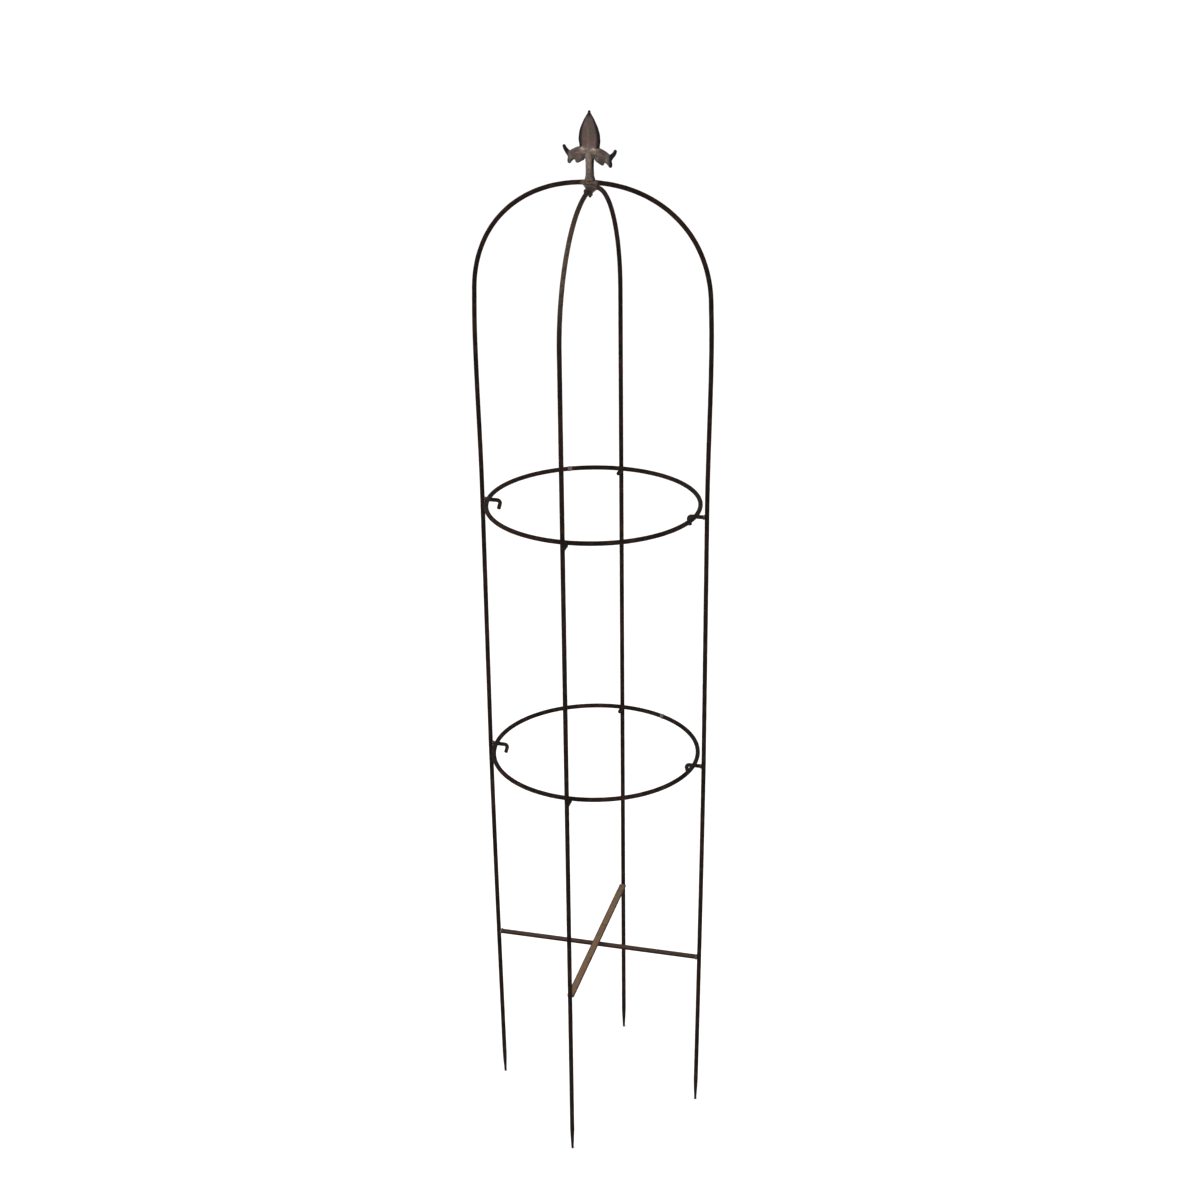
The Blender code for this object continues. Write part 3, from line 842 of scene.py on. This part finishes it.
def hook_line(start, inner):
    """Centre line of a hook: level arm, bend, and tail turned down and back."""
    straight_end = inner + HOOK_BEND_RADIUS
    line = [(start - step, 0.0, 0.0) for step in np.arange(0.0, start - straight_end, SUPPORT_STEP)]
    for turn in np.linspace(0.0, HOOK_BEND, 16):
        line.append((straight_end - HOOK_BEND_RADIUS * math.sin(turn), 0.0,
                     -HOOK_BEND_RADIUS * (1.0 - math.cos(turn))))
    corner = line[-1]
    for along in (0.2, 0.4, 0.6, 0.8, 1.0 - CUT_EDGE / HOOK_TAIL, 1.0):
        line.append((corner[0] - HOOK_TAIL * along * math.cos(HOOK_BEND), 0.0,
                     corner[2] - HOOK_TAIL * along * math.sin(HOOK_BEND)))
    return line


def build_support(node_name, body, material, seed):
    """One hook or peg that a hoop lies on, as a cut and bent piece of round bar."""
    low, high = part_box(node_name)
    middle = (low + high) / 2
    axis = 0 if abs(middle.x) > abs(middle.y) else 1
    inner, outer = sorted((abs(low[axis]), abs(high[axis])))
    level = high.z - SUPPORT_RADIUS
    if node_name.startswith("hook"):
        line = hook_line(outer, inner + SUPPORT_RADIUS)
    else:
        steps = np.arange(0.0, outer - inner - CUT_EDGE, SUPPORT_STEP)
        line = [(outer - step, 0.0, 0.0) for step in steps]
        line += [(inner + CUT_EDGE, 0.0, 0.0), (inner, 0.0, 0.0)]
    count = len(line)

    def section(index):
        radius = SUPPORT_RADIUS - (CUT_EDGE if index == count - 1 else 0.0)
        return radius, radius, 2.0

    mesh = sweep(node_name + "_bar", line, ALONG, section, SUPPORT_SIDES, False, seed, CUT_BAR_RELIEF)
    mesh.set_sharp_from_angle(angle=math.radians(50.0))
    mesh.transform(Matrix.Translation((0.0, 0.0, level)))
    turned(mesh, math.degrees(math.atan2(middle.y, middle.x)))
    add_piece(node_name + "_bar", mesh, body, "hook_steel", material, node_name)


# ---------------------------------------------------------------------- welds

def build_weld(name, body, slot, centre, direction, bead, seed, material):
    """A lumpy fillet: overlapping beads in a row along one direction."""
    radius, half_length = bead
    count = max(3, round(half_length / radius * WELD_BEADS_PER_RADIUS))
    lumps = []
    for step in range(count):
        share = 2.0 * step / (count - 1) - 1.0
        wander = noise.noise(Vector((seed, step * 0.7, 0.0)))
        size = radius * (1.0 - 0.28 * share * share + 0.16 * wander)
        place = Vector(centre) + Vector(direction) * (half_length * share)
        place.z += radius * 0.15 * wander
        lumps.append(blob(place, (size, size, size * WELD_FLATNESS)))
    mesh = fuse(name, lumps, WELD_VOXEL, 3)
    roughen(mesh, seed, 0.0003, 0.004, 0.00012, 0.0012)
    add_piece(name, mesh, body, slot, material)


def weld_ends(node_name, body, slot, bead, seed, material, both_faces):
    """Weld each end of a bar, or the outer end of a support, to its leg."""
    radius = bead[0]
    low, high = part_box(node_name)
    middle = (low + high) / 2
    along_x = (high.x - low.x) > (high.y - low.y)
    direction = (0.0, 1.0, 0.0) if along_x else (1.0, 0.0, 0.0)
    ends = (high, low) if both_faces else ((high,) if (middle.x + middle.y) > 0.0 else (low,))
    lift = BRACE_WELD_LIFT if both_faces else radius * SUPPORT_WELD_LIFT
    level = middle.z if both_faces else high.z - SUPPORT_RADIUS
    for number, corner in enumerate(ends):
        reach = corner.x if along_x else corner.y
        inward = math.copysign(radius * 0.25, reach)
        place = (reach - inward, 0.0) if along_x else (0.0, reach - inward)
        for face, up in enumerate((lift, -lift)):
            build_weld(f"{node_name}_weld_{number}{face}", body, slot,
                       (place[0], place[1], level + up), direction, bead,
                       seed + number * 3.1 + face * 1.7, material)


def build_crown_weld(material):
    """Ring of weld that holds the spacer to the underside of the outer crown."""
    low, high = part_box("pivot_spacer")
    ring = high.x + CROWN_WELD_RADIUS * 0.3
    level = high.z - CROWN_WELD_RADIUS * 0.4
    lumps = []
    for step in range(CROWN_WELD_LUMPS):
        turn = 2.0 * math.pi * step / CROWN_WELD_LUMPS
        size = CROWN_WELD_RADIUS * (1.0 + 0.18 * noise.noise(Vector((step * 0.6, 2.5, 0.0))))
        lumps.append(blob((ring * math.cos(turn), ring * math.sin(turn), level), (size, size, size)))
    mesh = fuse("pivot_spacer_weld", lumps, CROWN_WELD_VOXEL, 2)
    roughen(mesh, 41.0, 0.0002, 0.003, 0.0001, 0.001)
    for vertex in mesh.vertices:
        vertex.co.z = max(vertex.co.z, low.z)
    add_piece("pivot_spacer_weld", mesh, "outer_arch", "rod_steel", material)


# --------------------------------------------------------------------- finial

def blade_half_width(share):
    """Half the blade's width at a share of its height."""
    swell = math.sin(math.pi * (BLADE_SWELL_START + (1.0 - BLADE_SWELL_START) * share))
    return BLADE_HALF_WIDTH * max(0.0, swell)


def blade_lump(base, top):
    """Pointed blade with a central spine and hollow cheeks on both faces."""
    points = []
    for row in range(BLADE_ROWS):
        share = row / (BLADE_ROWS - 1)
        up = base + (top - base) * share
        wide = max(blade_half_width(share), BLADE_POINT_HALF_WIDTH)
        slim = min(1.0, wide / BLADE_HALF_WIDTH + 0.15)
        for column in range(BLADE_COLUMNS):
            turn = 2.0 * math.pi * column / BLADE_COLUMNS
            across = math.cos(turn)
            spine = math.exp(-(across / BLADE_SPINE_WIDTH) ** 2)
            rim = abs(across) ** 6
            depth = (BLADE_WEB + BLADE_SPINE * spine + BLADE_RIM * rim * (1.0 - share)) * slim
            shape = math.copysign(abs(math.sin(turn)) ** 0.42, math.sin(turn))
            points.append((wide * across, depth * shape, up))
    mesh = mesh_of("blade", points, tube_faces(BLADE_ROWS, BLADE_COLUMNS, False))
    turn_outward(mesh)
    return mesh


def tapered_limb(line, radii, flatness):
    """A round limb of changing thickness along a line in the finial's plane."""
    fine = []
    sizes = []
    line = [np.array((across, 0.0, up)) for across, up in line]
    for index in range(len(line) - 1):
        before = line[max(0, index - 1)]
        first, second = line[index], line[index + 1]
        beyond = line[min(len(line) - 1, index + 2)]
        for step in range(LIMB_STEPS):
            share = step / LIMB_STEPS
            fine.append(0.5 * (2.0 * first + (second - before) * share
                               + (2.0 * before - 5.0 * first + 4.0 * second - beyond) * share ** 2
                               + (3.0 * first - before - 3.0 * second + beyond) * share ** 3))
            sizes.append(radii[index] + (radii[index + 1] - radii[index]) * share)
    fine.append(line[-1])
    sizes.append(radii[-1])
    lumps = []
    for place, size in zip(fine, sizes):
        lumps.append(blob(place, (size, size * flatness, size)))
    return lumps


def finial_lumps(height):
    """Every lump of the casting, in its own plane with its foot at zero."""
    lumps = [blade_lump(BLADE_BASE, height), turned_post(STEM_LEVELS, STEM_RADII)]
    leaves = []
    for side in (-1.0, 1.0):
        for line, radii, flatness in LEAF_LIMBS:
            leaves += tapered_limb([(side * across, up) for across, up in line], radii, flatness)
    for leaf in leaves:
        leaf.transform(Matrix.Translation((0.0, 0.0, LEAF_LIFT)))
    lumps += leaves
    lumps.append(blob((0.0, 0.0, height - POINT_KNOB[2]), POINT_KNOB))
    lumps.append(blob((0.0, 0.0, STEM_KNOT_HEIGHT), STEM_KNOT))
    return lumps


def turned_post(heights, radii):
    """Round post whose radius changes smoothly with height."""
    levels = np.linspace(0.0, heights[-1], POST_ROWS)
    sizes = np.interp(levels, heights, radii)
    points = []
    for level, size in zip(levels, sizes):
        for side in range(POST_SIDES):
            turn = 2.0 * math.pi * side / POST_SIDES
            points.append((size * math.cos(turn), size * math.sin(turn), level))
    mesh = mesh_of("post", points, tube_faces(POST_ROWS, POST_SIDES, False))
    turn_outward(mesh)
    return mesh


def climb(value, start, span):
    """0 up to a start, then rising to 1 over a span."""
    return min(1.0, max(0.0, (value - start) / span))


def above_foot(height):
    """How far a height is clear of the finial's foot: 0 on it, 1 on the stem."""
    return ease((height - 0.010) / 0.016)


def finial_wear_and_highlight(place):
    """Bare metal on the ridges, and a painted highlight at the leaves' roots."""
    ridge = climb(abs(place.y), 0.0034, 0.0025)
    # Painted highlight on the bulges at the leaves' roots
    root = math.exp(-((abs(place.x) - 0.0105) / 0.0065) ** 2 - ((place.z - 0.050) / 0.004) ** 2)
    return min(1.0, (0.15 + 0.20 * above_foot(place.z)) * ridge + 0.7 * root)


def finial_scale_and_shade(place, normal, height):
    """Dark scale on spurs and point, and painted shade on rims, undersides and faces that look sideways."""
    spur = climb(abs(place.x), 0.0365, 0.004)
    point = climb(place.z, 0.098, 0.008)
    share = (place.z - BLADE_BASE) / (height - BLADE_BASE)
    reach = abs(place.x) / max(0.002, blade_half_width(share)) if share > 0.12 else 0.0
    # Painted shade on the rims, the undersides and the faces that look sideways
    rim = climb(reach, 0.58, 0.24)
    underside = climb(-normal.z, 0.35, 0.5) if 0.018 < place.z < 0.04 else 0.0
    side = above_foot(place.z) * climb(-abs(normal.y), -0.62, 0.3)
    return min(0.97, max(spur, point, rim, underside, side))


def build_finial(material):
    """Cast finial: foot, stem, side leaves with curled spurs, and the blade."""
    low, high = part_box("finial_casting")
    height = high.z - low.z
    mesh = fuse("finial_cast", finial_lumps(height - FINIAL_SKIN), FINIAL_VOXEL, 3)
    roughen(mesh, 5.5, 0.00028, 0.0075, 0.00014, 0.0017)
    for vertex in mesh.vertices:
        vertex.co.z = max(vertex.co.z, 0.0)
    mesh.update()
    # Wear with a painted highlight at the leaves' roots, then dark scale with painted shade
    paint(mesh, "wear_and_highlight", [finial_wear_and_highlight(vertex.co) for vertex in mesh.vertices])
    paint(mesh, "dark_scale_and_shade", [finial_scale_and_shade(vertex.co, vertex.normal, height) for vertex in mesh.vertices])
    mesh.transform(Matrix.Rotation(FINIAL_TURN, 4, "Z"))
    mesh.transform(Matrix.Translation((0.0, 0.0, low.z)))
    add_piece("finial_cast", mesh, "finial", "finial_iron", material, "finial_casting")


# ----------------------------------------------------------------- fasteners

def turned_ring(name, levels, outer, inner, sides):
    """Closed ring about the pivot axis; outer(angle, level) gives its outside."""
    points = []
    for level in levels:
        for side in range(sides):
            turn = 2.0 * math.pi * side / sides
            radius = outer(turn, level)
            points.append((radius * math.cos(turn), radius * math.sin(turn), level))
    for level in reversed(levels):
        for side in range(sides):
            turn = 2.0 * math.pi * side / sides
            points.append((inner * math.cos(turn), inner * math.sin(turn), level))
    mesh = mesh_of(name, points, tube_faces(len(levels) * 2, sides, True))
    turn_outward(mesh)
    mesh.set_sharp_from_angle(angle=math.radians(35.0))
    return mesh


def rounded_levels(low, high, edge):
    """Heights of a disc with a rounded rim."""
    return [low, low + edge * 0.3, low + edge, (low + high) / 2, high - edge, high - edge * 0.3, high]


def build_disc(node_name, body, slot, edge, seed, material):
    """Washer or spacer with a rounded, slightly uneven rim."""
    low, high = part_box(node_name)
    radius = high.x

    def outer(turn, level):
        near = min(level - low.z, high.z - level)
        rim = edge * (1.0 - math.sqrt(max(0.0, 1.0 - (1.0 - min(1.0, near / edge)) ** 2)))
        uneven = DISC_UNEVENNESS * noise.noise(Vector((3.0 * math.cos(turn), 3.0 * math.sin(turn), seed)))
        return radius - rim - DISC_UNEVENNESS + uneven

    levels = rounded_levels(low.z, high.z, edge)
    mesh = turned_ring(node_name + "_disc", levels, outer, HOLE_RADIUS, DISC_SIDES)
    paint_evenly(mesh, 0.4)
    add_piece(node_name + "_disc", mesh, body, slot, material, node_name)


def build_nut(material):
    """Hexagon nut with chamfered corners."""
    low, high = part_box("pivot_nut")
    corner = max(high.x, high.y)
    flat = corner * math.cos(math.radians(30.0))

    def outer(turn, level):
        sixth = (turn + math.radians(30.0)) % math.radians(60.0) - math.radians(30.0)
        hexagon = flat / math.cos(math.radians(30.0) - abs(sixth))
        near = min(level - low.z, high.z - level)
        face = flat * NUT_FACE_SHARE
        cone = face + near * (corner - face) / NUT_CHAMFER
        return min(hexagon, cone)

    insets = (0.0, NUT_CHAMFER / 3, NUT_CHAMFER * 2 / 3, NUT_CHAMFER)
    levels = [low.z + inset for inset in insets] + [high.z - inset for inset in reversed(insets)]
    mesh = turned_ring("pivot_nut_hex", levels, outer, HOLE_RADIUS, NUT_SIDES)
    paint_evenly(mesh, 0.5)
    add_piece("pivot_nut_hex", mesh, "nut", "fastener_steel", material, "pivot_nut")


def build_stud(material):
    """Threaded stud through both crowns, narrower at its lower end."""
    low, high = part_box("finial_stud")
    levels = np.arange(low.z, high.z, THREAD_STEP)
    points = []
    for level in levels:
        lead = min(1.0, (level - low.z) / STUD_CHAMFER)
        for side in range(STUD_SIDES):
            turn = 2.0 * math.pi * side / STUD_SIDES
            phase = ((level / THREAD_PITCH) - side / STUD_SIDES) % 1.0
            thread = abs(2.0 * phase - 1.0)
            size = (high.x - THREAD_DEPTH * thread) * (1.0 - STUD_NARROWING + STUD_NARROWING * lead)
            points.append((size * math.cos(turn), size * math.sin(turn), level))
    mesh = mesh_of("finial_stud_thread", points, tube_faces(len(levels), STUD_SIDES, False))
    turn_outward(mesh)
    paint_evenly(mesh, 0.3)
    add_piece("finial_stud_thread", mesh, "finial", "fastener_steel", material, "finial_stud")


# ---------------------------------------------------------------------- studio

def build_studio():
    """Plain pale floor, soft light from all round and one broad key light."""
    work = bmesh.new()
    bmesh.ops.create_grid(work, x_segments=8, y_segments=8, size=FLOOR_HALF_SIZE)
    mesh = take_mesh("studio_floor", work)
    mesh.materials.append(pale_floor())
    floor = linked("studio_floor", mesh)
    floor.location.z = -FLOOR_DROP

    world = bpy.data.worlds.new("studio")
    world.use_nodes = True
    sky = world.node_tree.nodes["Background"]
    sky.inputs["Color"].default_value = (1.0, 1.0, 1.0, 1.0)
    sky.inputs["Strength"].default_value = SKY_STRENGTH
    bpy.context.scene.world = world
    add_area_light("key_light", place=(-2.6, -3.0, 4.2), size=2.6, power=120.0)
    add_area_light("fill_light", place=(3.4, -1.6, 2.6), size=3.0, power=28.0)


def add_area_light(name, place, size, power):
    """A broad square lamp aimed at the middle of the obelisk."""
    lamp = bpy.data.lights.new(name, "AREA")
    lamp.shape = "SQUARE"
    lamp.size = size
    lamp.energy = power
    holder = linked(name, lamp)
    holder.location = place
    aim = Vector(LIGHT_AIM) - Vector(place)
    holder.rotation_mode = "QUATERNION"
    holder.rotation_quaternion = aim.to_track_quat("-Z", "Y")


def build_camera():
    """Camera at the obelisk's front, a little to its right, looking down at it."""
    lens = bpy.data.cameras.new("camera")
    lens.lens = CAMERA_LENS
    lens.sensor_width = SENSOR_WIDTH
    lens.clip_end = CAMERA_REACH
    holder = linked("camera", lens)
    aim = Matrix.Rotation(CAMERA_HEADING, 4, "Z") @ Matrix.Rotation(math.pi / 2 - CAMERA_PITCH, 4, "X")
    holder.matrix_world = Matrix.Translation(CAMERA_PLACE) @ aim @ Matrix.Rotation(CAMERA_ROLL, 4, "Z")
    bpy.context.scene.camera = holder
    bpy.context.scene.view_settings.view_transform = "Standard"


# ----------------------------------------------------------------------- build

def build_arches(metals):
    """Both bent rods and their cross braces."""
    rod = metals["rusted_rod"]
    build_arch("outer_arch_rod", "outer_arch", OUTER_DOME, outer_spread, degrees=0.0, seed=1.3,
               rubbed_side=0.0, material=rod)
    build_arch("inner_arch_rod", "inner_arch", INNER_DOME, no_spread, degrees=90.0, seed=8.6,
               rubbed_side=-1.0, material=rod)
    build_brace("outer_arch_brace", "outer_arch", degrees=0.0, seed=2.2, material=metals["rusted_dark_bar"])
    build_brace("inner_arch_brace", "inner_arch", degrees=90.0, seed=6.4, material=metals["rusted_bar"])


def build_supports(support, weld):
    """Hooks on the outer arch and pegs on the inner arch, each welded to its leg."""
    for number, spot in enumerate(("upper_right", "upper_left", "lower_right", "lower_left")):
        build_support("hook_" + spot, "outer_arch", support, seed=12.0 + number)
        weld_ends("hook_" + spot, "outer_arch", "hook_steel", HOOK_WELD, 20.0 + number, weld, False)
    for number, spot in enumerate(("upper_back", "upper_front", "lower_back", "lower_front")):
        build_support("peg_" + spot, "inner_arch", support, seed=16.0 + number)
        weld_ends("peg_" + spot, "inner_arch", "hook_steel", PEG_WELD, 24.0 + number, weld, False)


def build_pivot(metals):
    """Everything on the pivot axis: finial, stud, spacer, washer and nut."""
    weld = metals["weld_scale"]
    fastener = metals["dull_fastener"]
    build_crown_weld(weld)
    build_finial(metals["cast_rust"])
    build_stud(fastener)
    build_disc("pivot_spacer", "outer_arch", "rod_steel", edge=0.0009, seed=1.0, material=weld)
    build_disc("pivot_washer", "nut", "fastener_steel", edge=0.0003, seed=2.0, material=fastener)
    build_nut(fastener)


def build_object():
    """Make every piece of the obelisk."""
    metals = {name: rusty_metal(name, **finish) for name, finish in FINISHES.items()}
    ring = metals["rusted_hoop"]
    weld = metals["weld_scale"]
    build_arches(metals)
    build_hoop("hoop_upper", "upper_hoop", 3.7, seam_degrees=118.0, material=ring, weld_material=weld)
    build_hoop("hoop_lower", "lower_hoop", 4.9, seam_degrees=62.0, material=ring, weld_material=weld)
    build_supports(metals["rusted_hook"], weld)
    weld_ends("outer_arch_brace", "outer_arch", "bar_steel", BRACE_WELD, 30.0, weld, True)
    weld_ends("inner_arch_brace", "inner_arch", "bar_steel", BRACE_WELD, 36.0, weld, True)
    build_pivot(metals)


build_studio()
build_camera()
build_object()

bpy.context.view_layer.update()
